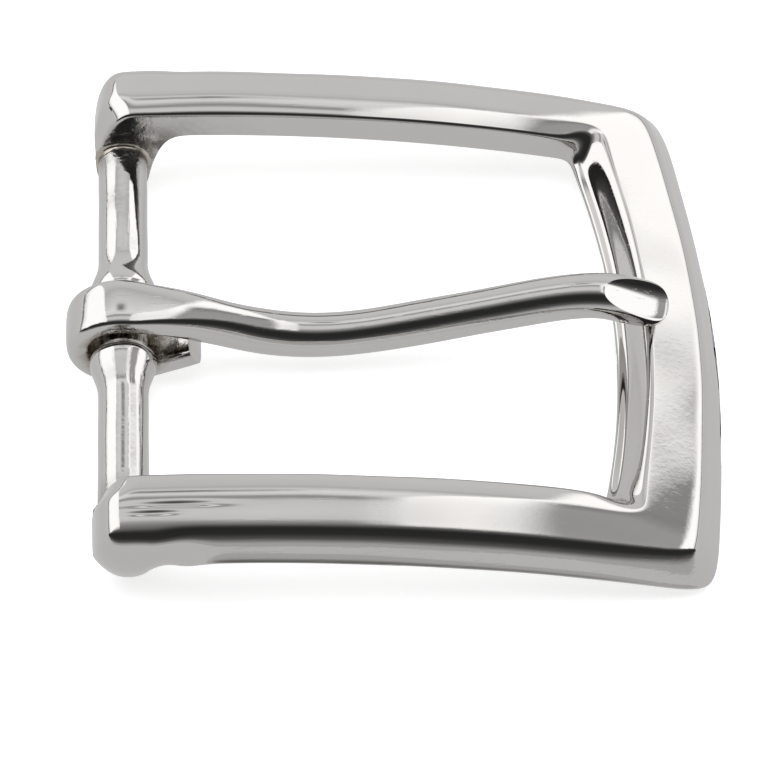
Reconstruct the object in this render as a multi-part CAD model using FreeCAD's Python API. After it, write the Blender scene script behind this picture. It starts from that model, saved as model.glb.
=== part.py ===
import FreeCAD, Part
import math
import os

# Prong buckle for a 35 mm dress belt, lying on its back: +X runs along the belt from the hinge bar
# to the crossbar, +Y across the belt and +Z out of the front. The origin is on the hinge bar's axis,
# half way between the lugs. Millimetres.

Vec = FreeCAD.Vector

# --- driving dimensions -------------------------------------------------------------------------
belt_gap = 36.0              # clear width between the two arms
rest_z = -4.8                # the plane that the buckle lies on

arch_radius = 136.5          # the frame is bent about a line parallel to the hinge bar
arch_top_x = 3.9             # where the bent frame is highest
arch_top_z = 3.2             # height of the frame's back there

arm_width = 6.85
crossbar_width = 9.6
crossbar_start = 39.55       # crossbar's inner edge at the arms, measured along the arch
crossbar_bow = 2.65          # how far that edge bulges at mid width
outer_bow = 2.9              # how far its outer edge bulges
outer_bow_power = 1.7        # 2 is a parabola, less is straighter away from the middle
corner_cut = 2.8             # size of the rounded outer corners

lug_end_z = -0.9             # the arms' rounded ends spring from this height
inner_end_start = 1.3        # where the arms' inner edge begins to slope down, along the arch
inner_end = 4.0              # length of that slope
inner_end_power = 2.5        # its shape: higher is a later and steeper fall
dome_length = 2.75           # the rest of the arm's end is rounded from s = 0 over this length
lug_draft = 3.6              # how much narrower a lug is at its end
lug_blend = 7.0              # the lug's outer side runs out into the arm over this length
lug_bottom_z = -5.08         # before its foot is ground flat at rest_z

bar_radius = 2.1             # hinge bar, and its seats in the lugs
seat_depth = 1.3
seat_clearance = 0.01
bar_chamfer = 0.3
neck_radius = 2.05           # the bar between its two collars
neck_half = 2.6
collar_radius = 2.86
collar_y = 3.35              # collar's crest
collar_end_y = 6.9           # where the collar has tapered back into the bar

ring_height = 0.38           # braze bead, out from the lug's face
ring_width = 0.32            # braze bead, out from the bar

loop_outer = 4.74            # tongue's loop round the hinge bar
loop_thickness = 2.1
loop_width = 4.7
loop_shift = -0.12           # the loose loop hangs this far off the bar's axis
loop_offset = -0.15          # and sits this far to one side between the collars
tail_offset = -0.45          # the wrapped end is pushed further to that side
loop_end_angle = -287.0      # where the loop runs into the shaft, degrees
tail_angle = -60.0           # where the wrapped wire's tail leaves the loop, degrees
tail_length = 4.9

coin_x = 40.2                # the tip's coined flat starts here, on top of the wire
coin_z = 5.38
coin_slope = 26.0            # it falls towards the tip, degrees
coin_lean = 22.0             # and leans towards the lower arm, degrees


# --- smooth closed surfaces ---------------------------------------------------------------------
def smooth_solid(rows):
    """Solid skinned over rings of control points: cubic, periodic round each ring, flat ends."""
    rings = len(rows)
    around = len(rows[0])
    surface = Part.BSplineSurface()
    surface.buildFromPolesMultsKnots(
        rows,
        [4] + [1] * (rings - 4) + [4],
        [1] * (around + 1),
        [float(k) for k in range(rings - 2)],
        [float(k) for k in range(around + 1)],
        False,
        True,
        3,
        3,
    )
    skin = surface.toShape()
    caps = []
    for end in (0.0, float(rings - 3)):
        rim = surface.uIso(end).toShape()
        caps.append(Part.Face(Part.Wire([rim])))
    solid = Part.makeSolid(Part.makeShell([skin] + caps))
    if solid.Volume < 0:
        solid.reverse()
    return solid


def mix(a, b, t):
    return a + (b - a) * t


def ease(t):
    t = min(max(t, 0.0), 1.0)
    return t * t * (3.0 - 2.0 * t)


def on_arch(s, y, h):
    """Point at distance s along the arch, y across it and h above the frame's back."""
    phi = (s - arch_top_x) / arch_radius
    r = arch_radius + h
    return Vec(arch_top_x + r * math.sin(phi), y, arch_top_z - arch_radius + r * math.cos(phi))


# --- frame: two arms with lugs, and the bowed crossbar --------------------------------------------
# Control points of the section, from the inner back edge up the inner wall, over the front and down
# to the thin outer edge, then back. The first number is the share of the width, the second the height.
arm_section = [
    (0.000, 0.00), (0.000, 0.22), (0.000, 1.15), (0.000, 2.05), (0.000, 2.55), (0.016, 2.86),
    (0.065, 3.03), (0.150, 3.14), (0.245, 3.22), (0.320, 3.21), (0.400, 3.14), (0.520, 2.97),
    (0.620, 2.80), (0.705, 2.58), (0.765, 2.30), (0.820, 1.91), (0.865, 1.46), (0.905, 0.94),
    (0.965, 0.22), (1.000, 0.00), (0.950, 0.00), (0.500, 0.00), (0.035, 0.00),
]
crossbar_section = [
    (0.000, 0.00), (0.000, 0.14), (0.004, 0.34), (0.028, 0.50), (0.058, 0.60), (0.078, 0.90),
    (0.108, 1.60), (0.140, 2.34), (0.168, 2.90), (0.190, 3.14), (0.225, 3.19), (0.380, 3.16),
    (0.540, 3.08), (0.645, 2.97), (0.690, 2.84), (0.735, 2.52), (0.820, 1.72), (0.915, 0.85),
    (0.975, 0.24), (1.000, 0.00), (0.950, 0.00), (0.500, 0.00), (0.035, 0.00),
]
# Where control points of the section go on a lug, which reaches down past the hinge bar: the share of
# the arm's width, and the share of the lug's depth below the arm's back.
lug_section = {
    0: (0.000, 1.00), 1: (0.000, 0.94), 2: (0.000, 0.60), 3: (0.000, 0.18), 14: (0.790, 0.00),
    15: (0.885, 0.03), 16: (0.930, 0.14), 17: (0.905, 0.32), 18: (0.780, 0.53), 19: (0.620, 0.75),
    20: (0.440, 0.93), 21: (0.260, 1.00), 22: (0.060, 1.00),
}
# The lug's underside seen from the side: (distance along the arch, height), from its rounded end,
# under the hinge bar and up through a hollow into the arm's back.
lug_outline = [
    (-2.57, -1.60), (-2.54, -2.20), (-2.38, -3.00), (-2.00, -3.85), (-1.35, -4.65), (-0.50, -5.05),
    (0.40, -5.08), (1.10, -4.80), (1.62, -4.20), (1.95, -3.30), (2.18, -2.15), (2.45, -0.95),
    (2.80, 0.20), (3.25, 1.38), (3.80, 2.38), (4.50, 2.97), (5.50, 3.20), (6.90, 3.20),
]
arm_straight = [8.8, 11.6, 15.0, 19.0, 23.0, 27.0, 30.5, 33.4, 35.4]
crossbar_straight = [14.0, 11.6, 9.0, 6.0, 3.0]


def inner_edge(y):
    return crossbar_start + crossbar_bow * (1.0 - (y / (belt_gap / 2)) ** 2)


def outer_edge(y):
    share = y / (belt_gap / 2 + arm_width)
    middle = crossbar_start + crossbar_bow + crossbar_width
    return middle - outer_bow * abs(share) ** outer_bow_power


def arm_ring(s, low_z, side):
    """Ring of control points across one arm at s, with its underside at low_z; side is +1 or -1."""
    full = arch_top_z - lug_bottom_z
    inner_depth = arch_top_z - low_z
    outer_depth = inner_depth
    if s > 0.0:
        outer_depth = max(inner_depth, full * (1.0 - ease(s / lug_blend)))
    slope = 1.0 - (max(0.0, inner_end_start - s) / inner_end) ** inner_end_power
    dome = math.sqrt(1.0 - (min(0.0, s) / dome_length) ** 2)
    width = arm_width - lug_draft * (1.0 - dome)
    ring = []
    for k, (share, height) in enumerate(arm_section):
        depth = mix(inner_depth, outer_depth, ease(share))
        v = share
        h = height
        if k in lug_section:
            lugness = ease(1.35 * depth / full)
            low_share, low = lug_section[k]
            v = mix(share, low_share, lugness)
            h = height * (1.0 - low * lugness) - low * depth
        end = mix(slope, dome, ease(share / 0.35))
        top = mix(lug_end_z - arch_top_z, h, end)
        ring.append(on_arch(s, side * (belt_gap / 2 + v * width), min(h, max(top, -depth))))
    return ring


def corner_stations():
    """Inner and outer ends of the rings round a corner, as (along the arch, across it)."""
    half = belt_gap / 2
    outer_y = half + arm_width
    s0 = crossbar_start
    cut = corner_cut
    outer_s = outer_edge(outer_y)
    return [
        ((s0 - 2.4, half), (s0 - 1.0, outer_y)),
        ((s0 - 1.3, half), (s0 + 2.2, outer_y)),
        ((s0 - 0.6, half - 0.02), (s0 + 4.8, outer_y)),
        ((s0 - 0.15, half - 0.2), (outer_s - cut * 0.80, outer_y - 0.05)),
        ((s0 + 0.15, half - 0.55), (outer_s - cut * 0.12, outer_y - cut * 0.22)),
        ((s0 + 0.38, half - 1.25), (outer_edge(outer_y - cut), outer_y - cut)),
        ((s0 + 0.62, half - 2.3), (outer_edge(outer_y - cut * 2), outer_y - cut * 2)),
    ]


def section_ring(inner, outer, blend):
    """Ring between two plan points, blended from the arm's section (0) to the crossbar's (1)."""
    ring = []
    for (va, ha), (vb, hb) in zip(arm_section, crossbar_section):
        v = mix(va, vb, blend)
        h = mix(ha, hb, blend)
        ring.append(on_arch(mix(inner[0], outer[0], v), mix(inner[1], outer[1], v), h))
    return ring


def crossbar_ring(y):
    outer_y = y * 1.14
    return section_ring((inner_edge(y), y), (outer_edge(outer_y), outer_y), 1.0)


def half_rings(side):
    """Rings from one lug's end to just short of the crossbar's middle."""
    outline = lug_outline + [(s, arch_top_z) for s in arm_straight]
    rings = [arm_ring(s, low_z, side) for s, low_z in outline]
    corner = corner_stations()
    for k, (inner, outer) in enumerate(corner):
        blend = ease((k + 1.0) / (len(corner) + 1.0))
        rings.append(section_ring((inner[0], side * inner[1]), (outer[0], side * outer[1]), blend))
    return rings + [crossbar_ring(side * y) for y in crossbar_straight]


def make_frame():
    body = smooth_solid(half_rings(1) + [crossbar_ring(0.0)] + half_rings(-1)[::-1])
    seat = bar_radius + seat_clearance
    for side in (1, -1):
        start = Vec(0, side * (belt_gap / 2 - 1.0), 0)
        body = body.cut(Part.makeCylinder(seat, 1.0 + seat_depth, start, Vec(0, side, 0)))
    above_ground = Part.makeBox(80, 80, 20, Vec(-15, -40, rest_z))
    return body.common(above_ground)


# --- hinge bar ------------------------------------------------------------------------------------
def make_hinge_bar():
    """One turned bar: a neck for the tongue between two swelled collars, and plain ends."""
    end_y = belt_gap / 2 + seat_depth - 0.05
    neck_end = neck_half - 0.45
    flank = [
        (neck_radius, neck_end), (neck_radius + 0.03, neck_half - 0.12),
        (collar_radius - 0.25, neck_half + 0.12), (collar_radius + 0.03, collar_y),
        (collar_radius - 0.12, collar_y + 0.9), (bar_radius + 0.12, collar_end_y - 1.4),
        (bar_radius, collar_end_y - 0.5), (bar_radius, collar_end_y),
    ]
    collar = Part.BSplineCurve()
    collar.buildFromPolesMultsKnots(
        [Vec(r, y, 0) for r, y in flank],
        [4] + [1] * (len(flank) - 4) + [4],
        [float(k) for k in range(len(flank) - 2)],
        False,
        3,
    )
    corners = [
        (bar_radius, collar_end_y), (bar_radius, end_y - bar_chamfer),
        (bar_radius - bar_chamfer, end_y), (0, end_y), (0, 0), (neck_radius, 0),
        (neck_radius, neck_end),
    ]
    edges = [collar.toShape()]
    for (r0, y0), (r1, y1) in zip(corners, corners[1:]):
        edges.append(Part.makeLine(Vec(r0, y0, 0), Vec(r1, y1, 0)))
    upper = Part.Face(Part.Wire(edges)).revolve(Vec(0, 0, 0), Vec(0, 1, 0), 360)
    lower = upper.mirror(Vec(0, 0, 0), Vec(0, 1, 0))
    return upper.fuse(lower).removeSplitter()


def make_braze_ring(side):
    """Bead of braze where the bar meets the lug's face: a small hollow-faced ring."""
    face_y = side * belt_gap / 2
    hollow = 0.42
    foot = Vec(bar_radius, face_y, 0)
    out = Vec(bar_radius + ring_width, face_y, 0)
    up = Vec(bar_radius, face_y - side * ring_height, 0)
    middle = Vec(bar_radius + ring_width * hollow, face_y - side * ring_height * hollow, 0)
    edges = [
        Part.makeLine(foot, out),
        Part.Arc(out, middle, up).toShape(),
        Part.makeLine(up, foot),
    ]
    return Part.Face(Part.Wire(edges)).revolve(Vec(0, 0, 0), Vec(0, 1, 0), 360)


# --- tongue: one bent wire ------------------------------------------------------------------------
# Each station of the wire is (x, z, width, above, below, squareness): the line it follows, its width
# across Y, its thickness above and below that line, and 0 for a round section up to 1 for a flat band.
# The loop's stations add how far the band sits to one side.
shaft_stations = [
    (2.7, 3.02, 4.25, 1.25, 1.20, 0.85), (4.4, 2.48, 4.10, 1.50, 1.45, 0.60),
    (6.3, 1.62, 3.92, 1.75, 1.75, 0.30), (8.4, 0.58, 3.80, 1.90, 1.90, 0.0),
    (10.8, -0.48, 3.80, 1.90, 1.90, 0.0), (13.5, -1.25, 3.80, 1.90, 1.90, 0.0),
    (16.6, -1.56, 3.80, 1.90, 1.90, 0.0), (20.0, -1.22, 3.80, 1.90, 1.90, 0.0),
    (23.6, -0.34, 3.80, 1.90, 1.90, 0.0), (27.4, 0.76, 3.80, 1.90, 1.90, 0.0),
    (31.2, 1.78, 3.80, 1.90, 1.90, 0.0), (34.4, 2.70, 3.80, 1.90, 1.90, 0.0),
    (36.8, 3.26, 3.80, 1.90, 1.90, 0.0), (38.8, 3.48, 3.82, 1.90, 1.90, 0.0),
    (40.4, 3.38, 3.90, 1.88, 1.90, 0.0), (41.8, 3.02, 3.98, 1.84, 2.06, 0.10),
    (43.1, 2.52, 4.02, 1.78, 1.96, 0.20), (44.1, 2.12, 3.98, 1.68, 1.70, 0.25),
    (44.85, 1.84, 3.70, 1.50, 1.50, 0.25), (45.35, 1.67, 3.10, 1.22, 1.30, 0.20),
    (45.66, 1.57, 2.20, 0.86, 0.98, 0.10), (45.78, 1.53, 1.10, 0.42, 0.62, 0.0),
]
tail_shares = (1.0, 0.97, 0.8, 0.55, 0.3)
loop_count = 16
around_count = 24


def loop_stations():
    """Stations of the flattened band: its straight tail, then round the hinge bar."""
    radius = loop_outer - loop_thickness / 2
    half = loop_thickness / 2
    tail = math.radians(tail_angle)
    stations = []
    for share in tail_shares:
        reach = tail_length * share
        x = loop_shift + radius * math.cos(tail) - math.sin(tail) * reach
        z = radius * math.sin(tail) + math.cos(tail) * reach
        y = mix(loop_offset, tail_offset, ease(share))
        stations.append((x, z, loop_width, half, half, 1.0, y))
    for k in range(loop_count):
        angle = math.radians(mix(tail_angle, loop_end_angle, k / (loop_count - 1.0)))
        x = loop_shift + radius * math.cos(angle)
        z = radius * math.sin(angle)
        stations.append((x, z, loop_width, half, half, 1.0, loop_offset))
    return stations


def band_ring(station, along):
    """Ring of control points across the wire, square to the direction that it runs in."""
    x, z, width, above, below, square, y = station
    power = mix(1.0, 0.52, square)
    swell = 1.0 + mix(0.0116, 0.006, square)
    ring = []
    for k in range(around_count):
        angle = 2.0 * math.pi * k / around_count - math.pi / 2
        c = math.cos(angle)
        s = math.sin(angle)
        across = math.copysign(abs(c) ** power, c) * width / 2 * swell
        rise = math.copysign(abs(s) ** power, s) * (above if s > 0 else below) * swell
        ring.append(Vec(x - along[1] * rise, y + across, z + along[0] * rise))
    return ring


def make_tongue():
    shaft = [station + (loop_offset * station[-1],) for station in shaft_stations]
    stations = loop_stations() + shaft
    last = len(stations) - 1
    rings = []
    for k, station in enumerate(stations):
        before = stations[max(k - 1, 0)]
        after = stations[min(k + 1, last)]
        dx = after[0] - before[0]
        dz = after[1] - before[1]
        length = math.hypot(dx, dz)
        rings.append(band_ring(station, (dx / length, dz / length)))
    lean = FreeCAD.Rotation(Vec(1, 0, 0), coin_lean)
    slope = FreeCAD.Rotation(Vec(0, 1, 0), coin_slope)
    above_coin = Part.makeBox(20, 10, 6, Vec(-6, -5, 0))
    above_coin.Placement = FreeCAD.Placement(Vec(coin_x, 0, coin_z), lean.multiply(slope))
    return smooth_solid(rings).cut(above_coin)


def main():
    os.makedirs("parts", exist_ok=True)
    parts = {
        "frame": make_frame(),
        "hinge_bar": make_hinge_bar(),
        "tongue": make_tongue(),
        "upper_braze_ring": make_braze_ring(1),
        "lower_braze_ring": make_braze_ring(-1),
    }
    for name, shape in parts.items():
        box = shape.BoundBox
        print(name, shape.isValid(), len(shape.Solids), round(shape.Volume, 1),
              [round(v, 2) for v in (box.XMin, box.XMax, box.YMin, box.YMax, box.ZMin, box.ZMax)])
        shape.exportStep("parts/" + name + ".step")


main()
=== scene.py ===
import math

import bmesh
import bpy
import numpy as np
from mathutils import Matrix, Vector


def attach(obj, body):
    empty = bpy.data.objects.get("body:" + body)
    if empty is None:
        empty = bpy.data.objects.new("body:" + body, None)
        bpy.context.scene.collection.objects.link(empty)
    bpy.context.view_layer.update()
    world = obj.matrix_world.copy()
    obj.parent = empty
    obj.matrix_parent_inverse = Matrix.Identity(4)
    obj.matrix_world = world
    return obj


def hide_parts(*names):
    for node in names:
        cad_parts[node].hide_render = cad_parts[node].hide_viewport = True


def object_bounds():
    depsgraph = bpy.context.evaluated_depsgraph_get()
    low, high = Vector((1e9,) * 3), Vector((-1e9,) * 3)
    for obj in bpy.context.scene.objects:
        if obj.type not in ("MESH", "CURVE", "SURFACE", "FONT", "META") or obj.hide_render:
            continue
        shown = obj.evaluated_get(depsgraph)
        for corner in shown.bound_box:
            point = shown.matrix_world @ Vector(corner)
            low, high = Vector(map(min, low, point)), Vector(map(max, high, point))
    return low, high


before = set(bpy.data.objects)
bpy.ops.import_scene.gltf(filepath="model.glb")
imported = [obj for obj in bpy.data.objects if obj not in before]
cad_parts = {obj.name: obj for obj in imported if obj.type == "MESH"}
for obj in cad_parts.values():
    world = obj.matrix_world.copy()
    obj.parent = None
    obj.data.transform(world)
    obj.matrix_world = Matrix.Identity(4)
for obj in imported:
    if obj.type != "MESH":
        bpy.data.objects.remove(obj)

cad_low, cad_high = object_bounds()
rng = np.random.default_rng(11)
weld_distance = 1e-7      # metres
sliver_length = 1e-8

# Lengths are in millimetres until a mesh is made. They repeat the part's driving dimensions.
MM = 0.001
belt_gap = 36.0
rest_z = cad_low.z / MM
arch_radius = 136.5
arch_top_x = 3.9
arch_top_z = 3.2
arm_width = 6.85
crossbar_width = 9.6
crossbar_start = 39.55
crossbar_bow = 2.65
outer_bow = 2.9
outer_bow_power = 1.7
corner_cut = 2.8
lug_end_z = -0.9
inner_end_start = 1.3
inner_end = 4.0
inner_end_power = 2.5
dome_length = 2.75
lug_draft = 3.6
lug_blend = 7.0
lug_bottom_z = -5.08
bar_radius = 2.1
seat_depth = 1.3
bar_chamfer = 0.3
neck_radius = 2.05
neck_half = 2.6
collar_radius = 2.86
collar_y = 3.35
collar_end_y = 6.9
ring_height = 0.38
ring_width = 0.32
loop_outer = 4.74
loop_thickness = 2.1
loop_width = 4.7
loop_shift = -0.12
loop_offset = -0.15
tail_offset = -0.45
loop_end_angle = -287.0
tail_angle = -60.0
tail_length = 4.9
coin_x = 40.2
coin_z = 5.38
coin_slope = 26.0
coin_lean = 22.0


# --- shapes shared with the part: cubic skins over rings of control points ------------------------
def mix(a, b, t):
    return a + (b - a) * t


def ease(t):
    t = min(max(t, 0.0), 1.0)
    return t * t * (3.0 - 2.0 * t)


def clamped_basis(count, per_span):
    """Rows of cubic B-spline weights for evenly spaced points along a line of control points."""
    knots = [0.0] * 3 + [float(k) for k in range(count - 2)] + [float(count - 3)] * 3
    steps = (count - 3) * per_span
    basis = np.zeros((steps + 1, count))
    for row in range(steps + 1):
        t = min(row / per_span, count - 3 - 1e-9)
        span = int(t) + 3
        weights = [1.0]
        for degree in (1, 2, 3):
            grown = [0.0] * (degree + 1)
            for k, w in enumerate(weights):
                left = knots[span - degree + 1 + k]
                right = knots[span + 1 + k]
                share = (t - left) / (right - left)
                grown[k] += w * (1.0 - share)
                grown[k + 1] += w * share
            weights = grown
        basis[row, span - 3:span + 1] = weights
    return basis


def periodic_basis(count, per_span):
    """The same for a closed loop of control points."""
    basis = np.zeros((count * per_span, count))
    for row in range(count * per_span):
        first, f = divmod(row / per_span, 1.0)
        weights = ((1 - f) ** 3 / 6, (3 * f ** 3 - 6 * f ** 2 + 4) / 6,
                   (-3 * f ** 3 + 3 * f ** 2 + 3 * f + 1) / 6, f ** 3 / 6)
        for k, w in enumerate(weights):
            basis[row, (int(first) + k) % count] += w
    return basis


def skin_points(rings, along, around):
    """Grid of points, in millimetres, on the smooth skin over the rings."""
    poles = np.array(rings, float)
    rows = clamped_basis(len(poles), along)
    columns = periodic_basis(poles.shape[1], around)
    return np.einsum("ai,ijk,bj->abk", rows, poles, columns)


def grid_normals(grid):
    """Unit normals of a grid of points that closes round each row."""
    along = np.gradient(grid, axis=0)
    around = np.roll(grid, -1, axis=1) - np.roll(grid, 1, axis=1)
    normals = np.cross(along, around)
    length = np.linalg.norm(normals, axis=2, keepdims=True)
    return normals / np.maximum(length, 1e-9)


def tube_mesh(name, grid, ring=False):
    """Mesh over a grid of points, in millimetres, that closes round each row.
    Its ends get flat caps, or in a ring the last row joins the first."""
    rows, columns = grid.shape[:2]
    faces = []
    for a in range(rows if ring else rows - 1):
        this_row = a * columns
        next_row = (a + 1) % rows * columns
        for b in range(columns):
            c = (b + 1) % columns
            faces.append((this_row + b, this_row + c, next_row + c, next_row + b))
    if not ring:
        faces.append(tuple(range(columns))[::-1])
        faces.append(tuple((rows - 1) * columns + b for b in range(columns)))
    mesh = bpy.data.meshes.new(name)
    mesh.from_pydata((grid.reshape(-1, 3) * MM).tolist(), [], faces)
    return mesh


def finish_piece(name, mesh, material, body, node, sharp=38.0):
    """Cleans the mesh and makes it the piece that stands for a CAD node; sharp is in degrees."""
    bm = bmesh.new()
    bm.from_mesh(mesh)
    bmesh.ops.remove_doubles(bm, verts=bm.verts, dist=weld_distance)
    bmesh.ops.dissolve_degenerate(bm, edges=bm.edges, dist=sliver_length)
    bmesh.ops.recalc_face_normals(bm, faces=bm.faces)
    bm.to_mesh(mesh)
    bm.free()
    mesh.shade_smooth()
    mesh.set_sharp_from_angle(angle=math.radians(sharp))
    mesh.materials.append(material)
    piece = bpy.data.objects.new(name, mesh)
    bpy.context.scene.collection.objects.link(piece)
    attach(piece, body)
    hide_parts(node)


def point_attribute(mesh, name, function):
    """Writes function(points in millimetres) to a float attribute that the materials read."""
    co = np.zeros(len(mesh.vertices) * 3)
    mesh.vertices.foreach_get("co", co)
    values = function(co.reshape(-1, 3) / MM)
    layer = mesh.attributes.new(name, "FLOAT", "POINT")
    layer.data.foreach_set("value", np.clip(values, 0.0, 1.0))


def near(points, centre, radius):
    """1 at the centre, falling smoothly to 0 at about twice the radius, one radius for each axis."""
    d = (points - np.array(centre)) / np.array(radius)
    return np.exp(-(d ** 2).sum(axis=1))


def ripple(points, waves):
    """Sum of slow waves, in millimetres: the unevenness that hand polishing leaves."""
    total = np.zeros(len(points))
    for direction, length, phase, height in waves:
        total += height * np.sin(points @ direction * (2 * math.pi / length) + phase)
    return total


def random_waves(count, shortest, longest, height):
    """(direction, length, phase, height) of waves; each call draws from the seeded generator."""
    waves = []
    for _ in range(count):
        direction = rng.normal(size=3)
        direction /= np.linalg.norm(direction)
        waves.append((direction, rng.uniform(shortest, longest), rng.uniform(0, 2 * math.pi), height))
    return waves


# --- frame ----------------------------------------------------------------------------------------
# Sections are (share of the width from the inner edge, height); both have the same number of points.
arm_section = [
    (0.000, 0.00), (0.000, 0.22), (0.000, 1.15), (0.000, 2.05), (0.000, 2.55), (0.016, 2.86),
    (0.065, 3.03), (0.150, 3.14), (0.245, 3.22), (0.320, 3.21), (0.400, 3.14), (0.520, 2.97),
    (0.620, 2.80), (0.705, 2.58), (0.765, 2.30), (0.820, 1.91), (0.865, 1.46), (0.905, 0.94),
    (0.965, 0.22), (1.000, 0.00), (0.950, 0.00), (0.500, 0.00), (0.035, 0.00),
]
crossbar_section = [
    (0.000, 0.00), (0.000, 0.14), (0.004, 0.34), (0.028, 0.50), (0.058, 0.60), (0.078, 0.90),
    (0.108, 1.60), (0.140, 2.34), (0.168, 2.90), (0.190, 3.14), (0.225, 3.19), (0.380, 3.16),
    (0.540, 3.08), (0.645, 2.97), (0.690, 2.84), (0.735, 2.52), (0.820, 1.72), (0.915, 0.85),
    (0.975, 0.24), (1.000, 0.00), (0.950, 0.00), (0.500, 0.00), (0.035, 0.00),
]
# Points of the section that change in the lug: number in the section, then (share, depth as a share).
lug_section = {
    0: (0.000, 1.00), 1: (0.000, 0.94), 2: (0.000, 0.60), 3: (0.000, 0.18), 14: (0.790, 0.00),
    15: (0.885, 0.03), 16: (0.930, 0.14), 17: (0.905, 0.32), 18: (0.780, 0.53), 19: (0.620, 0.75),
    20: (0.440, 0.93), 21: (0.260, 1.00), 22: (0.060, 1.00),
}
# The lug from its back end to the arm: (place along the arch, height of the underside).
lug_outline = [
    (-2.57, -1.60), (-2.54, -2.20), (-2.38, -3.00), (-2.00, -3.85), (-1.35, -4.65), (-0.50, -5.05),
    (0.40, -5.08), (1.10, -4.80), (1.62, -4.20), (1.95, -3.30), (2.18, -2.15), (2.45, -0.95),
    (2.80, 0.20), (3.25, 1.38), (3.80, 2.38), (4.50, 2.97), (5.50, 3.20), (6.90, 3.20),
]
arm_straight = [8.8, 11.6, 15.0, 19.0, 23.0, 27.0, 30.5, 33.4, 35.4]
crossbar_straight = [14.0, 11.6, 9.0, 6.0, 3.0]
crossbar_flare = 1.14     # how much further across the outer edge's stations are than the inner edge's
frame_density = (5, 7)    # points for each span of the skin, along and around


def on_arch(s, y, h):
    """Point at height h above the arch that the belt's curve follows, s along it and y across it."""
    phi = (s - arch_top_x) / arch_radius
    r = arch_radius + h
    return (arch_top_x + r * math.sin(phi), y, arch_top_z - arch_radius + r * math.cos(phi))


def inner_edge(y):
    return crossbar_start + crossbar_bow * (1.0 - (y / (belt_gap / 2)) ** 2)


def outer_edge(y):
    share = y / (belt_gap / 2 + arm_width)
    middle = crossbar_start + crossbar_bow + crossbar_width
    return middle - outer_bow * abs(share) ** outer_bow_power


def arm_ring(s, low_z, side):
    """One ring of the arm or lug, on the side +1 or -1; low_z is how far down it reaches."""
    full = arch_top_z - lug_bottom_z
    inner_depth = arch_top_z - low_z
    outer_depth = inner_depth
    if s > 0.0:
        outer_depth = max(inner_depth, full * (1.0 - ease(s / lug_blend)))
    slope = 1.0 - (max(0.0, inner_end_start - s) / inner_end) ** inner_end_power
    dome = math.sqrt(1.0 - (min(0.0, s) / dome_length) ** 2)
    width = arm_width - lug_draft * (1.0 - dome)
    ring = []
    for k, (share, height) in enumerate(arm_section):
        depth = mix(inner_depth, outer_depth, ease(share))
        v = share
        h = height
        if k in lug_section:
            lugness = ease(1.35 * depth / full)
            low_share, low = lug_section[k]
            v = mix(share, low_share, lugness)
            h = height * (1.0 - low * lugness) - low * depth
        end = mix(slope, dome, ease(share / 0.35))
        top = mix(lug_end_z - arch_top_z, h, end)
        ring.append(on_arch(s, side * (belt_gap / 2 + v * width), min(h, max(top, -depth))))
    return ring


def corner_stations():
    """(inner point, outer point) of the rings that turn the corner, each (along, across)."""
    half = belt_gap / 2
    outer_y = half + arm_width
    s0 = crossbar_start
    cut = corner_cut
    outer_s = outer_edge(outer_y)
    return [
        ((s0 - 2.4, half), (s0 - 1.0, outer_y)),
        ((s0 - 1.3, half), (s0 + 2.2, outer_y)),
        ((s0 - 0.6, half - 0.02), (s0 + 4.8, outer_y)),
        ((s0 - 0.15, half - 0.2), (outer_s - cut * 0.80, outer_y - 0.05)),
        ((s0 + 0.15, half - 0.55), (outer_s - cut * 0.12, outer_y - cut * 0.22)),
        ((s0 + 0.38, half - 1.25), (outer_edge(outer_y - cut), outer_y - cut)),
        ((s0 + 0.62, half - 2.3), (outer_edge(outer_y - cut * 2), outer_y - cut * 2)),
    ]


def section_ring(inner, outer, blend):
    ring = []
    for (va, ha), (vb, hb) in zip(arm_section, crossbar_section):
        v = mix(va, vb, blend)
        h = mix(ha, hb, blend)
        ring.append(on_arch(mix(inner[0], outer[0], v), mix(inner[1], outer[1], v), h))
    return ring


def crossbar_ring(y):
    outer_y = y * crossbar_flare
    return section_ring((inner_edge(y), y), (outer_edge(outer_y), outer_y), 1.0)


def half_rings(side):
    outline = lug_outline + [(s, arch_top_z) for s in arm_straight]
    rings = [arm_ring(s, low_z, side) for s, low_z in outline]
    corner = corner_stations()
    for k, (inner, outer) in enumerate(corner):
        blend = ease((k + 1.0) / (len(corner) + 1.0))
        rings.append(section_ring((inner[0], side * inner[1]), (outer[0], side * outer[1]), blend))
    return rings + [crossbar_ring(side * y) for y in crossbar_straight]


def frame_painted_shade(points):
    """Painted shade: darker, mottled colour on the lugs' inner faces and undersides, and low in the
    window's corners by the crossbar. The metal there is also rougher."""
    total = np.zeros(len(points))
    for side in (1, -1):
        face_y = side * belt_gap / 2
        corner = (crossbar_start + 0.3, side * (belt_gap / 2 - 0.5), -4.0)
        at_face = np.clip(1.0 - np.abs(points[:, 1] - face_y) / 0.5, 0, 1)
        total += at_face * near(points, (2.5, face_y, 1.6), (5.0, 3.0, 3.0))
        total += 0.6 * near(points, corner, (1.6, 1.4, 1.6))
    under = np.clip((arch_top_z - 3.3 - points[:, 2]) / 3.0, 0, 1) * (points[:, 0] < 4.0)
    return total + 0.35 * under


def frame_peel(points):
    """Orange peel: coarsest on the crossbar's front towards the lower arm."""
    crossbar = np.clip((points[:, 0] - 41.0) / 3.0, 0, 1)
    low = np.clip((6.0 - points[:, 1]) / 22.0, 0, 1)
    return 0.15 + crossbar * low


def dents(points):
    """Two long shallow dents beside the lower lug: a guess at what the two dark strokes there are."""
    lower = -belt_gap / 2
    return (0.100 * near(points, (4.4, lower - 3.05, 6.2), (3.2, 0.20, 4.0))
            + 0.080 * near(points, (2.6, lower - 3.75, 6.2), (2.0, 0.17, 4.0)))


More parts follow.
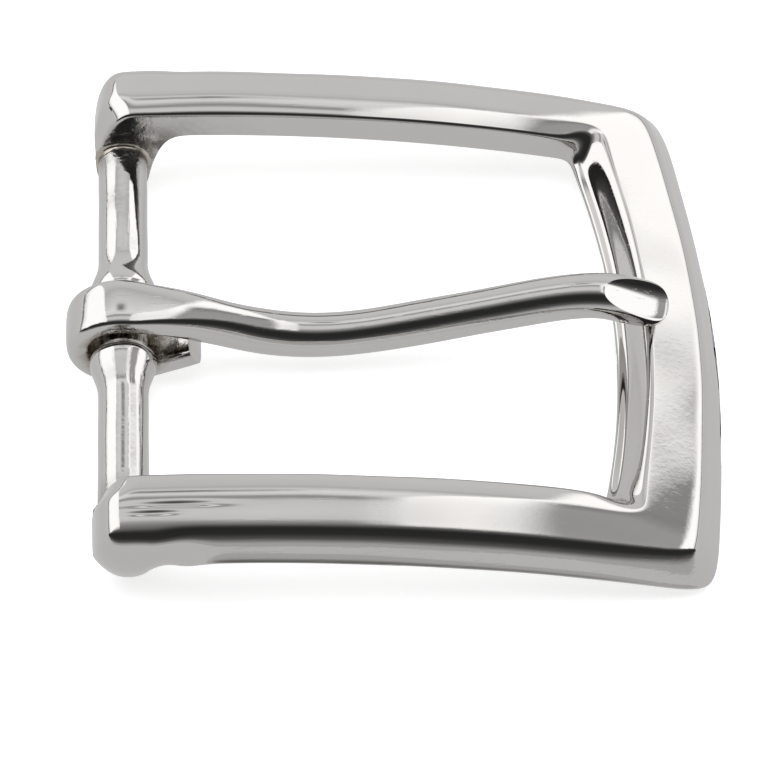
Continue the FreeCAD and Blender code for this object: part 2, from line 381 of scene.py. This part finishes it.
def make_frame(material):
    rings = half_rings(1) + [crossbar_ring(0.0)] + half_rings(-1)[::-1]
    grid = skin_points(rings, *frame_density)
    flat = grid.reshape(-1, 3)
    outward = grid_normals(grid).reshape(-1, 3)
    offset = (ripple(flat, frame_waves) - dents(flat))[:, None] * outward
    flat = flat + offset * (outward[:, 2:] > 0)
    flat[:, 2] = np.maximum(flat[:, 2], rest_z)
    mesh = tube_mesh("frame_polished", flat.reshape(grid.shape))
    point_attribute(mesh, "shade_and_stain", frame_painted_shade)
    point_attribute(mesh, "peel", frame_peel)
    finish_piece("frame_polished", mesh, material, "frame", "frame")


# --- hinge bar and its two braze beads ------------------------------------------------------------
bar_points_around = 112
bead_points_around = 192
bead_arc_steps = 12
# (waves round the bar, share of the bead's unevenness)
bead_waves = ((2, 0.40), (5, 0.25), (11, 0.20), (19, 0.15))


def lathe(profile, count):
    """Grid of points turned round the Y axis from (radius, y) pairs."""
    grid = np.zeros((len(profile), count, 3))
    for a, (radius, y) in enumerate(profile):
        for b in range(count):
            angle = 2 * math.pi * b / count
            grid[a, b] = (radius * math.cos(angle), y, radius * math.sin(angle))
    return grid


def bar_profile():
    """(radius, y) from the middle of the bar out to its end."""
    neck_end = neck_half - 0.45
    end_y = belt_gap / 2 + seat_depth - 0.05
    flank = [
        (neck_radius, neck_end), (neck_radius + 0.03, neck_half - 0.12),
        (collar_radius - 0.25, neck_half + 0.12), (collar_radius + 0.03, collar_y),
        (collar_radius - 0.12, collar_y + 0.9), (bar_radius + 0.12, collar_end_y - 1.4),
        (bar_radius, collar_end_y - 0.5), (bar_radius, collar_end_y),
    ]
    collar = clamped_basis(len(flank), 10) @ np.array(flank)
    neck = [(neck_radius, neck_end * k / 6) for k in range(6)]
    plain = [(bar_radius, mix(collar_end_y, end_y - bar_chamfer, k / 30)) for k in range(1, 31)]
    tip = [(bar_radius - bar_chamfer, end_y), (0.6, end_y)]
    return neck + collar.tolist() + plain + tip


def bar_stain_and_shade(points):
    """Darker, duller metal towards each end of the bar, painted shade on the neck under the tongue's
    loop, and two small marks."""
    end = np.clip((np.abs(points[:, 1]) - belt_gap / 2 + 3.2) / 3.2, 0, 1)
    neck = np.clip(1.0 - np.abs(points[:, 1]) / neck_half, 0, 1)
    marks = near(points, (-0.8, 12.4, 1.9), (0.8, 0.9, 0.8))
    marks += near(points, (-0.8, -5.6, 1.9), (0.8, 0.7, 0.8))
    return end ** 2 + 0.4 * neck + 0.25 * marks


def make_hinge_bar(material):
    half = bar_profile()
    profile = [(r, -y) for r, y in half[:0:-1]] + half
    grid = lathe(profile, bar_points_around)
    waves = random_waves(4, 4.0, 9.0, 0.007)
    flat = grid.reshape(-1, 3)
    plain = np.abs(flat[:, 1]) > neck_half
    radial = flat * np.array([1.0, 0.0, 1.0])
    length = np.linalg.norm(radial, axis=1, keepdims=True)
    flat = flat + radial / length * (ripple(flat, waves) * plain)[:, None]
    mesh = tube_mesh("hinge_bar_turned", flat.reshape(grid.shape))
    point_attribute(mesh, "shade_and_stain", bar_stain_and_shade)
    point_attribute(mesh, "peel", lambda p: np.full(len(p), 0.5))
    finish_piece("hinge_bar_turned", mesh, material, "frame", "hinge_bar")


def make_braze_bead(side, name, node, material):
    """A hand-laid bead: it bulges and thins unevenly round the bar."""
    face_y = side * belt_gap / 2
    phases = rng.uniform(0, 2 * math.pi, 4)

    def uneven(angle):
        waves = 0.0
        for (times, share), phase in zip(bead_waves, phases):
            waves += math.sin(times * angle + phase) * share
        return 1.10 + 0.38 * waves

    # The bead's hollow-faced section: (out from the bar, up from the lug), as shares of its size.
    arc = []
    for k in range(bead_arc_steps + 1):
        turn = math.pi / 2 * k / bead_arc_steps
        arc.append((1.0 - math.sin(turn) * 0.9, 1.0 - math.cos(turn) * 0.9))
    shape = [(1.0, -0.3)] + arc + [(0.1, 1.04), (-0.12, 1.0), (-0.12, -0.3)]
    grid = np.zeros((len(shape), bead_points_around, 3))
    for b in range(bead_points_around):
        angle = 2 * math.pi * b / bead_points_around
        size = uneven(angle)
        for a, (out, up) in enumerate(shape):
            radius = bar_radius + ring_width * size * out
            y = face_y - side * ring_height * size * up
            grid[a, b] = (radius * math.cos(angle), y, radius * math.sin(angle))
    mesh = tube_mesh(name, grid, ring=True)
    point_attribute(mesh, "shade_and_stain", lambda p: 0.35 + 0.3 * np.sin(p[:, 0] * 2.1) * np.sin(p[:, 2] * 1.7))
    point_attribute(mesh, "peel", lambda p: np.full(len(p), 0.6))
    finish_piece(name, mesh, material, "frame", node, sharp=50.0)


# --- tongue ---------------------------------------------------------------------------------------
# (x, z, width, thickness above, thickness below, squareness) from the loop to the tip.
shaft_stations = [
    (2.7, 3.02, 4.25, 1.25, 1.20, 0.85), (4.4, 2.48, 4.10, 1.50, 1.45, 0.60),
    (6.3, 1.62, 3.92, 1.75, 1.75, 0.30), (8.4, 0.58, 3.80, 1.90, 1.90, 0.0),
    (10.8, -0.48, 3.80, 1.90, 1.90, 0.0), (13.5, -1.25, 3.80, 1.90, 1.90, 0.0),
    (16.6, -1.56, 3.80, 1.90, 1.90, 0.0), (20.0, -1.22, 3.80, 1.90, 1.90, 0.0),
    (23.6, -0.34, 3.80, 1.90, 1.90, 0.0), (27.4, 0.76, 3.80, 1.90, 1.90, 0.0),
    (31.2, 1.78, 3.80, 1.90, 1.90, 0.0), (34.4, 2.70, 3.80, 1.90, 1.90, 0.0),
    (36.8, 3.26, 3.80, 1.90, 1.90, 0.0), (38.8, 3.48, 3.82, 1.90, 1.90, 0.0),
    (40.4, 3.38, 3.90, 1.88, 1.90, 0.0), (41.8, 3.02, 3.98, 1.84, 2.06, 0.10),
    (43.1, 2.52, 4.02, 1.78, 1.96, 0.20), (44.1, 2.12, 3.98, 1.68, 1.70, 0.25),
    (44.85, 1.84, 3.70, 1.50, 1.50, 0.25), (45.35, 1.67, 3.10, 1.22, 1.30, 0.20),
    (45.66, 1.57, 2.20, 0.86, 0.98, 0.10), (45.78, 1.53, 1.10, 0.42, 0.62, 0.0),
]
tail_shares = (1.0, 0.97, 0.8, 0.55, 0.3)
loop_count = 16
around_count = 24
tongue_density = (6, 5)   # points for each span of the skin, along and around
coin_hollow = 0.34        # how far past flat the face is pressed, as a share of what stood above it
coin_reach = 8.0          # only points this near the coined face are pressed


def loop_stations():
    """The cut tail, then the loop round the bar: as shaft_stations, and each with its sideways offset."""
    radius = loop_outer - loop_thickness / 2
    half = loop_thickness / 2
    tail = math.radians(tail_angle)
    stations = []
    for share in tail_shares:
        reach = tail_length * share
        x = loop_shift + radius * math.cos(tail) - math.sin(tail) * reach
        z = radius * math.sin(tail) + math.cos(tail) * reach
        stations.append((x, z, loop_width, half, half, 1.0, mix(loop_offset, tail_offset, ease(share))))
    for k in range(loop_count):
        angle = math.radians(mix(tail_angle, loop_end_angle, k / (loop_count - 1.0)))
        x = loop_shift + radius * math.cos(angle)
        z = radius * math.sin(angle)
        stations.append((x, z, loop_width, half, half, 1.0, loop_offset))
    return stations


def band_ring(station, along):
    """Ring of control points: round where squareness is 0, a rounded rectangle where it is 1."""
    x, z, width, above, below, square, y = station
    power = mix(1.0, 0.52, square)
    swell = 1.0 + mix(0.0116, 0.006, square)
    ring = []
    for k in range(around_count):
        angle = 2.0 * math.pi * k / around_count - math.pi / 2
        c = math.cos(angle)
        s = math.sin(angle)
        across = math.copysign(abs(c) ** power, c) * width / 2 * swell
        rise = math.copysign(abs(s) ** power, s) * (above if s > 0 else below) * swell
        ring.append((x - along[1] * rise, y + across, z + along[0] * rise))
    return ring


def tongue_rings():
    shaft = [station + (loop_offset * station[-1],) for station in shaft_stations]
    stations = loop_stations() + shaft
    last = len(stations) - 1
    rings = []
    for k, station in enumerate(stations):
        before = stations[max(k - 1, 0)]
        after = stations[min(k + 1, last)]
        dx = after[0] - before[0]
        dz = after[1] - before[1]
        length = math.hypot(dx, dz)
        rings.append(band_ring(station, (dx / length, dz / length)))
    return rings


def coin_tip(mesh):
    """Presses the leaf-shaped flat into the tip, slightly hollow from edge to edge."""
    lean = Matrix.Rotation(math.radians(coin_lean), 3, "X")
    slope = Matrix.Rotation(math.radians(coin_slope), 3, "Y")
    normal = lean @ slope @ Vector((0, 0, 1))
    origin = Vector((coin_x, 0, coin_z)) * MM
    start_x = (coin_x - coin_reach) * MM
    bm = bmesh.new()
    bm.from_mesh(mesh)
    tip = [v for v in bm.verts if v.co.x > start_x]
    near_tip = set(tip)
    geom = tip + [e for e in bm.edges if near_tip.issuperset(e.verts)]
    geom += [f for f in bm.faces if near_tip.issuperset(f.verts)]
    bmesh.ops.bisect_plane(bm, geom=geom, plane_co=origin, plane_no=normal, dist=weld_distance)
    for v in bm.verts:
        if v.co.x > start_x:
            above = (v.co - origin).dot(normal)
            if above > weld_distance:
                v.co -= normal * above * (1.0 + coin_hollow)
    bm.to_mesh(mesh)
    bm.free()


def tongue_painted_shade(points):
    """Painted shade: darker, brownish colour inside the loop, under the tip and on the tail's cut end,
    where the metal is also rougher.
    """
    inside = np.clip((4.1 - np.hypot(points[:, 0], points[:, 2])) / 1.2, 0, 1)
    under_tip = np.clip((points[:, 0] - 40.0) / 4.0, 0, 1) * np.clip((1.4 - points[:, 2]) / 1.0, 0, 1)
    tail_end = near(points, (6.3, 0.0, -0.5), (1.5, 3.0, 1.2))
    return inside + 0.8 * under_tip + 0.4 * tail_end


def make_tongue(material):
    grid = skin_points(tongue_rings(), *tongue_density)
    flat = grid.reshape(-1, 3)
    waves = random_waves(5, 5.0, 11.0, 0.012)
    shaft = np.clip((flat[:, 0] - 9.0) / 3.0, 0, 1) * np.clip((40.0 - flat[:, 0]) / 3.0, 0, 1)
    flat = flat + grid_normals(grid).reshape(-1, 3) * (ripple(flat, waves) * shaft)[:, None]
    mesh = tube_mesh("tongue_wire", flat.reshape(grid.shape))
    coin_tip(mesh)
    point_attribute(mesh, "shade_and_stain", tongue_painted_shade)
    point_attribute(mesh, "peel", lambda p: 0.12 + 0.3 * np.clip((6.0 - p[:, 0]) / 6.0, 0, 1))
    finish_piece("tongue_wire", mesh, material, "tongue", "tongue", sharp=30.0)


# --- materials ------------------------------------------------------------------------------------
class Nodes:
    """Small helper that adds and links shader nodes."""

    def __init__(self, tree):
        self.tree = tree
        tree.nodes.clear()

    def add(self, kind, settings=None, **inputs):
        node = self.tree.nodes.new(kind)
        for key, value in (settings or {}).items():
            setattr(node, key, value)
        for key, value in inputs.items():
            self.feed(node, key.replace("_", " "), value)
        return node

    def feed(self, node, key, value):
        socket = node.inputs[int(key)] if key.isdigit() else node.inputs[key]
        if isinstance(value, bpy.types.NodeSocket):
            self.tree.links.new(value, socket)
        else:
            socket.default_value = value

    def math(self, operation, a, b=0.0, clamp=False):
        node = self.tree.nodes.new("ShaderNodeMath")
        node.operation = operation
        node.use_clamp = clamp
        self.feed(node, "0", a)
        self.feed(node, "1", b)
        return node.outputs[0]

    def noise(self, vector, scale, detail=2.0, rough=0.5):
        node = self.add("ShaderNodeTexNoise", Vector=vector, Scale=scale, Detail=detail, Roughness=rough)
        return node.outputs["Fac"]

    def spread(self, value, low, high, out_low=0.0, out_high=1.0):
        """Value from low to high becomes out_low to out_high along a smooth step."""
        node = self.add("ShaderNodeMapRange", {"interpolation_type": "SMOOTHSTEP"}, Value=value)
        ends = {"From Min": low, "From Max": high, "To Min": out_low, "To Max": out_high}
        for key, number in ends.items():
            node.inputs[key].default_value = number
        return node.outputs[0]

    def blend(self, factor, a, b, mode="MIX"):
        node = self.add("ShaderNodeMix", {"data_type": "RGBA", "blend_type": mode})
        self.feed(node, "0", factor)
        self.feed(node, "6", a)
        self.feed(node, "7", b)
        return node.outputs[2]

    def ramp(self, value, stops, low, high):
        """Brightness read from a table of (value, brightness), with value from low to high."""
        share = self.add("ShaderNodeMapRange", Value=value)
        share.inputs["From Min"].default_value = low
        share.inputs["From Max"].default_value = high
        node = self.add("ShaderNodeValToRGB", Fac=share.outputs[0])
        elements = node.color_ramp.elements
        node.color_ramp.interpolation = "LINEAR"
        places = [((at - low) / (high - low), level) for at, level in stops]
        while len(elements) > 1:
            elements.remove(elements[-1])
        elements[0].position = places[0][0]
        for at, _ in places[1:]:
            elements.new(at)
        for element, (_, level) in zip(elements, places):
            element.color = (level, level, level, 1.0)
        return node.outputs[0]

    def bump(self, height, distance, normal=None):
        node = self.add("ShaderNodeBump", Height=height, Distance=distance)
        if normal is not None:
            self.feed(node, "Normal", normal)
        return node.outputs[0]


def nickel(name, clean, shade_stain_colour, rough, grain, peel_height, line_depth):
    """Bright nickel plate: faint hairlines from polishing, orange peel, and darker, rougher places that
    are partly real stains and partly painted shade.
    grain is the scale of the hairlines' noise along X, Y and Z: smallest along the lines.
    The two heights are in metres."""
    material = bpy.data.materials.new(name)
    material.use_nodes = True
    n = Nodes(material.node_tree)
    place = n.add("ShaderNodeTexCoord").outputs["Object"]
    shade_and_stain = n.add("ShaderNodeAttribute", {"attribute_name": "shade_and_stain"}).outputs["Fac"]
    peel = n.add("ShaderNodeAttribute", {"attribute_name": "peel"}).outputs["Fac"]
    mottle = n.noise(place, 420.0, 5.0, 0.62)
    cloud = n.noise(place, 130.0, 3.0)
    along = n.add("ShaderNodeMapping", Vector=place, Scale=grain).outputs[0]
    hairline = n.spread(n.noise(along, 1.0, 3.0, 0.6), 0.55, 0.72)
    # Where this mask is high the colour turns dark and the metal rougher: painted shade in recesses,
    # undersides and under the tongue's loop, real stains and marks elsewhere.
    shade_stain_patch = n.math("MULTIPLY", shade_and_stain, n.spread(mottle, 0.36, 0.58, 0.35, 1.0), True)
    clouded = (clean[0] * 0.95, clean[1] * 0.93, clean[2] * 0.93, 1)
    colour = n.blend(n.spread(cloud, 0.3, 0.7, 0.0, 0.35), clean, clouded)
    colour = n.blend(shade_stain_patch, colour, shade_stain_colour)
    clouding = n.spread(cloud, 0.3, 0.7, rough, rough + 0.03)
    shine = n.math("ADD", clouding, n.math("MULTIPLY", hairline, 0.03))
    shine = n.math("ADD", shine, n.math("MULTIPLY", shade_stain_patch, 0.34))
    slow = n.bump(n.noise(place, 170.0, 1.0), 0.000018)
    skin = n.math("MULTIPLY", n.noise(place, 1900.0, 1.0), peel)
    skin = n.bump(skin, peel_height, slow)
    lines = n.bump(hairline, line_depth, skin)
    pits = n.bump(n.math("MULTIPLY", mottle, shade_stain_patch), 0.00022, lines)
    shader = n.add("ShaderNodeBsdfPrincipled", Metallic=1.0, Roughness=shine, Normal=pits)
    n.feed(shader, "Base Color", colour)
    n.add("ShaderNodeOutputMaterial", Surface=shader.outputs[0])
    return material


# --- studio ---------------------------------------------------------------------------------------
def make_floor(name, lift, tone, glow):
    """A pale round floor of paper, lift metres below the resting plane."""
    bm = bmesh.new()
    radii = (0.02, 0.05, 0.1, 0.2, 0.4, 0.8, 1.6, 3.2)
    count = 64
    centre = bm.verts.new((0, 0, 0))
    rings = []
    for radius in radii:
        rings.append([bm.verts.new((radius * math.cos(2 * math.pi * k / count),
                                    radius * math.sin(2 * math.pi * k / count), 0)) for k in range(count)])
    for k in range(count):
        bm.faces.new((centre, rings[0][k], rings[0][(k + 1) % count]))
        for inner, outer in zip(rings, rings[1:]):
            bm.faces.new((inner[k], outer[k], outer[(k + 1) % count], inner[(k + 1) % count]))
    mesh = bpy.data.meshes.new(name)
    bm.to_mesh(mesh)
    bm.free()
    floor = bpy.data.objects.new(name, mesh)
    floor.location = ((cad_low.x + cad_high.x) / 2, 0, cad_low.z - lift)
    bpy.context.scene.collection.objects.link(floor)
    material = bpy.data.materials.new(name + "_paper")
    material.use_nodes = True
    n = Nodes(material.node_tree)
    place = n.add("ShaderNodeTexCoord").outputs["Object"]
    uneven = n.spread(n.noise(place, 9.0), 0.3, 0.7)
    tooth = n.bump(n.noise(place, 2500.0), 0.00001)
    shader = n.add("ShaderNodeBsdfPrincipled", Roughness=0.75, Normal=tooth)
    pale = tone + 0.01
    n.feed(shader, "Base Color", n.blend(uneven, (tone, tone, tone, 1), (pale, pale, pale, 1)))
    n.feed(shader, "Specular IOR Level", 0.1)
    n.feed(shader, "Emission Color", (1.0, 1.0, 1.0, 1))
    n.feed(shader, "Emission Strength", glow)
    n.add("ShaderNodeOutputMaterial", Surface=shader.outputs[0])
    mesh.materials.append(material)
    return floor


# The room is fitted, not measured: its brightness by direction was worked backwards from the bands
# that the metal shows. By tilt from straight up towards +Y, in degrees: tent, seams, dark doorway.
tent = [
    (-180, 0.62), (-125, 0.62), (-104, 0.55), (-92, 0.55), (-84, 0.52), (-78, 0.28), (-72, 0.12),
    (-62, 0.06), (-56, 0.035), (-34, 0.030), (-28, 0.05), (-23, 0.11), (-15, 0.30), (-9, 0.50), (-5, 0.80),
    (5, 0.88), (12, 0.80), (16, 0.42), (18.5, 0.42), (23, 0.95), (30, 1.05), (37, 0.80), (41, 0.64),
    (45, 0.74), (56, 0.80), (84, 0.80), (92, 0.70), (180, 0.62),
]
# Brightness of the softboxes at each side by height above the horizon.
softbox = [
    (-1.0, 0.78), (0.050, 0.82), (0.072, 0.30), (0.115, 0.28), (0.145, 1.10), (0.28, 1.55), (0.80, 1.55),
    (0.92, 1.32), (1.0, 1.0),
]
# The softbox beyond the crossbar has a dark seam; by the ray's direction across the belt.
seam = [
    (-1.0, 0.34), (0.30, 0.30), (0.42, 0.22), (0.475, 0.24), (0.505, 0.50), (0.53, 0.76), (0.56, 0.86),
    (0.59, 1.00), (1.0, 1.05),
]
background = 1.05         # what the camera sees past the floor
joint_depth = 0.8
joint_tone = (0.15, 0.15, 0.15, 1)


def make_world():
    world = bpy.data.worlds.new("light_tent")
    bpy.context.scene.world = world
    world.use_nodes = True
    n = Nodes(world.node_tree)
    way = n.add("ShaderNodeTexCoord").outputs["Generated"]
    axes = n.add("ShaderNodeSeparateXYZ", Vector=way)
    x, y, z = axes.outputs
    tilt = n.math("MULTIPLY", n.math("ARCTAN2", y, z), 180.0 / math.pi)

    base = n.ramp(tilt, tent, -180.0, 180.0)
    sides = n.ramp(z, softbox, -1.0, 1.0)
    gap = n.ramp(y, seam, -1.0, 1.0)
    right = n.math("GREATER_THAN", x, 0.0)
    # The seam darkens only part of the softbox beyond the crossbar, on +X.
    seamed = n.math("MULTIPLY", n.spread(x, 0.40, 0.52), n.spread(x, 0.72, 0.80, 1.0, 0.0))
    lit = n.blend(seamed, sides, n.blend(1.0, sides, gap, "MULTIPLY"))
    # Where the softboxes begin: at a fixed |x| towards -X, and further in at low tilts towards +X.
    inner = n.blend(right, (0.42, 0.42, 0.42, 1), n.spread(tilt, 18.0, 46.0, 0.23, 0.43))
    edge = n.spread(n.math("SUBTRACT", n.math("ABSOLUTE", x), inner), 0.0, 0.05)
    edge = n.math("MULTIPLY", edge, n.spread(tilt, -20.0, -11.0))
    # A narrow dark joint in the tent, about 30 degrees from straight up towards +Y: the bar mirrors it.
    joint = n.math("MULTIPLY", n.spread(n.math("ABSOLUTE", x), 0.02, 0.20, 1.0, 0.0),
                   n.math("MULTIPLY", n.spread(y, 0.43, 0.51), n.spread(y, 0.53, 0.57, 1.0, 0.0)))
    base = n.blend(n.math("MULTIPLY", joint, joint_depth), base, joint_tone)
    total = n.blend(edge, base, lit)
    seen = n.add("ShaderNodeLightPath").outputs["Is Camera Ray"]
    final = n.blend(seen, total, (background, background, background, 1))
    shader = n.add("ShaderNodeBackground", Color=final)
    n.add("ShaderNodeOutputWorld", Surface=shader.outputs[0])


def make_lights():
    """A broad light overhead for the paper; the metal mirrors only the tent."""
    data = bpy.data.lights.new("overhead", "AREA")
    data.shape = "DISK"
    data.size = 0.7
    data.energy = 3.0
    light = bpy.data.objects.new("overhead", data)
    light.location = (0.02, 0.05, 0.8)
    light.visible_glossy = False
    bpy.context.scene.collection.objects.link(light)


# The camera was solved from the photograph: place in millimetres, direction, and roll in degrees.
camera_place = (8.7825, -146.1865, 212.9001)
camera_forward = (0.04923, 0.55013, -0.83363)
camera_roll = 2.859


def make_camera():
    data = bpy.data.cameras.new("camera")
    data.lens = 145.0
    data.sensor_width = 36.0
    data.clip_start = 0.01
    camera = bpy.data.objects.new("camera", data)
    forward = Vector(camera_forward).normalized()
    roll = math.radians(camera_roll)
    right = forward.cross(Vector((0, 0, 1))).normalized()
    up = right.cross(forward)
    rolled_right = right * math.cos(roll) + up * math.sin(roll)
    rolled_up = up * math.cos(roll) - right * math.sin(roll)
    turn = Matrix((rolled_right, rolled_up, -forward)).transposed().to_4x4()
    camera.matrix_world = Matrix.Translation(Vector(camera_place) * MM) @ turn
    bpy.context.scene.collection.objects.link(camera)
    bpy.context.scene.camera = camera


frame_waves = random_waves(7, 6.0, 14.0, 0.012)
# Dark colour mixed in by each mesh's mask: painted shade in the frame's recesses and undersides and under
# the tongue's loop, and marks and darker ends on the bar.
shade_and_stain_nickel = (0.17, 0.155, 0.14, 1)
# The tongue's brownish colour is only painted shade, inside the loop, under the tip and at the tail.
painted_shade_brown = (0.30, 0.25, 0.19, 1)
plate = nickel("polished_nickel_plate", clean=(0.640, 0.628, 0.612, 1), shade_stain_colour=shade_and_stain_nickel, rough=0.022,
               grain=(60, 4200, 4200), peel_height=0.0000045, line_depth=0.0000010)
bar_plate = nickel("polished_nickel_bar", clean=(0.650, 0.640, 0.625, 1), shade_stain_colour=shade_and_stain_nickel, rough=0.05,
                   grain=(2300, 160, 2300), peel_height=0.000012, line_depth=0.0000045)
wire_plate = nickel("polished_nickel_wire", clean=(0.640, 0.630, 0.615, 1), shade_stain_colour=painted_shade_brown, rough=0.028,
                    grain=(80, 3000, 3000), peel_height=0.000004, line_depth=0.0000030)
bead_plate = nickel("braze_bead", clean=(0.60, 0.56, 0.50, 1), shade_stain_colour=(0.20, 0.17, 0.14, 1), rough=0.16,
                    grain=(900, 900, 900), peel_height=0.000025, line_depth=0.0000020)

make_frame(plate)
make_hinge_bar(bar_plate)
make_braze_bead(1, "upper_braze_bead", "upper_braze_ring", bead_plate)
make_braze_bead(-1, "lower_braze_bead", "lower_braze_ring", bead_plate)
make_tongue(wire_plate)

# Two floors in one place: the camera sees one, and the metal mirrors the other, which is darker.
table = make_floor("studio_floor", 0.00004, 0.74, 0.66)
table.visible_glossy = False
mirrored = make_floor("studio_floor_mirrored", 0.00002, 0.12, 0.56)
mirrored.visible_camera = False
mirrored.visible_diffuse = False
mirrored.visible_shadow = False
make_world()
make_lights()
make_camera()
bpy.context.scene.view_settings.view_transform = "Standard"
